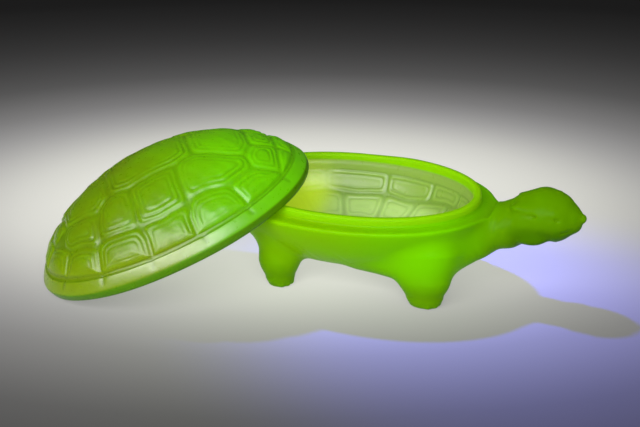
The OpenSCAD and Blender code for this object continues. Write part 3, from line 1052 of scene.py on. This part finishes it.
# ------------------------------------------------------------------ floor, light and camera
sc = bpy.context.scene
me = bpy.data.meshes.new("floor")
R, ns = 4.0, 96
vs = [(0, 0, 0)] + [(R * math.cos(2 * math.pi * i / ns), R * math.sin(2 * math.pi * i / ns), 0) for i in range(ns)]
me.from_pydata(vs, [], [(0, 1 + i, 1 + (i + 1) % ns) for i in range(ns)])
floor = bpy.data.objects.new("floor", me)
sc.collection.objects.link(floor)
fm = bpy.data.materials.new("pale_floor")
fm.use_nodes = True
fp = fm.node_tree.nodes["Principled BSDF"]
fp.inputs["Roughness"].default_value = 0.8
fp.inputs["Specular IOR Level"].default_value = 0.1
psi, el = math.radians(20.284), math.radians(21.863)
right = Vector((math.cos(psi), math.sin(psi), 0))
back = Vector((-math.sin(psi), math.cos(psi), 0))
up = Vector((0, 0, 1))
mid = Vector((cx, cy, 0.03))
# a pool of light round the object that fades out into grey
ft = fm.node_tree
tc = ft.nodes.new("ShaderNodeTexCoord")
mp = ft.nodes.new("ShaderNodeMapping")
mp.vector_type = "TEXTURE"
pool = mid + back * 0.095 - right * 0.028
mp.inputs["Location"].default_value = (pool.x, pool.y, 0)
mp.inputs["Rotation"].default_value = (0, 0, psi)
mp.inputs["Scale"].default_value = (1.36, 0.985, 1.0)
ln = ft.nodes.new("ShaderNodeVectorMath")
ln.operation = "LENGTH"
ramp = ft.nodes.new("ShaderNodeValToRGB")
stops = [(0.0, 1.0), (0.07, 0.90), (0.115, 0.70), (0.155, 0.38), (0.195, 0.215), (0.25, 0.085), (0.34, 0.034), (0.45, 0.010)]
while len(ramp.color_ramp.elements) < len(stops):
    ramp.color_ramp.elements.new(0.5)
for e_, (q, v) in zip(ramp.color_ramp.elements, stops):
    e_.position = q / 0.5
    # the middle of the pool is painted a little green: painted light of the glass's glow on the floor
    e_.color = (v, v * (1.0 if q < 0.13 else 0.985), v * (0.93 if q < 0.13 else 0.985), 1)
ramp.color_ramp.interpolation = "B_SPLINE"
sc_ = ft.nodes.new("ShaderNodeMath")
sc_.operation = "MULTIPLY"
sc_.inputs[1].default_value = 2.0
ft.links.new(tc.outputs["Object"], mp.inputs["Vector"])
ft.links.new(mp.outputs["Vector"], ln.inputs[0])
ft.links.new(ln.outputs["Value"], sc_.inputs[0])
ft.links.new(sc_.outputs[0], ramp.inputs["Fac"])
dim = ft.nodes.new("ShaderNodeMix")
dim.data_type = "RGBA"
dim.blend_type = "MULTIPLY"
dim.inputs[0].default_value = 1.0
dim.inputs[7].default_value = (0.27, 0.27, 0.27, 1)
ft.links.new(ramp.outputs["Color"], dim.inputs[6])
ft.links.new(dim.outputs[2], fp.inputs["Base Color"])
ft.links.new(ramp.outputs["Color"], fp.inputs["Emission Color"])
fp.inputs["Emission Strength"].default_value = 0.68
floor.data.materials.append(fm)


def area(name, where, target, size, power, color=(1, 1, 1), size_y=None):
    d = bpy.data.lights.new(name, "AREA")
    d.energy, d.size, d.color = power, size, color
    if size_y:
        d.shape = "RECTANGLE"
        d.size_y = size_y
    o = bpy.data.objects.new(name, d)
    sc.collection.objects.link(o)
    o.location = where
    o.rotation_euler = (Vector(target) - Vector(where)).to_track_quat("-Z", "Y").to_euler()
    return o


def place(r, b, u):
    return mid + right * r + back * b + up * u


area("key", place(-0.33, -0.98, 0.60), mid, 1.5, 43.0, (1.0, 0.99, 0.97), 0.74)
vd = bpy.data.lights.new("violet", "SPOT")
vd.energy, vd.color = 310.0, (0.05, 0.05, 1.0)
vd.shadow_soft_size, vd.spot_size, vd.spot_blend = 0.03, math.radians(14.8), 1.0
violet = bpy.data.objects.new("violet", vd)
sc.collection.objects.link(violet)
violet.location = place(-0.36, 0.52, 0.85)
aim = Vector((mid.x, mid.y, 0)) + right * 0.066 - back * 0.070
violet.rotation_euler = (aim - violet.location).to_track_quat("-Z", "Y").to_euler()
# the violet lamp is for the floor: the glass hides its reflection
only = bpy.data.collections.new("floor_only")
only.objects.link(floor)
violet.light_linking.receiver_collection = only
# light of the glowing glass on the floor under it
glow = area("glow", mid - back * 0.045 + up * 0.03, mid - back * 0.045 - up * 0.03, 0.20, 0.10, (0.75, 1.0, 0.40), 0.12)
glow.rotation_euler = (0, 0, psi)
glow.light_linking.receiver_collection = only
w = sc.world or bpy.data.worlds.new("World")
sc.world = w
w.use_nodes = True
bg = w.node_tree.nodes.get("Background") or w.node_tree.nodes.new("ShaderNodeBackground")
bg.inputs["Color"].default_value = (0.6, 0.6, 0.64, 1)
bg.inputs["Strength"].default_value = 0.06

cam_d = bpy.data.cameras.new("camera")
cam_d.sensor_width, cam_d.lens = 36.0, 84.68
cam_d.sensor_fit = "HORIZONTAL"
cam = bpy.data.objects.new("camera", cam_d)
sc.collection.objects.link(cam)
cam.location = Vector((cx + 0.22277, cy - 0.65156, 0.30577))
fwd = Vector((-math.sin(psi) * math.cos(el), math.cos(psi) * math.cos(el), -math.sin(el)))
cam.rotation_euler = fwd.to_track_quat("-Z", "Y").to_euler()
sc.camera = cam
sc.view_settings.view_transform = "Standard"
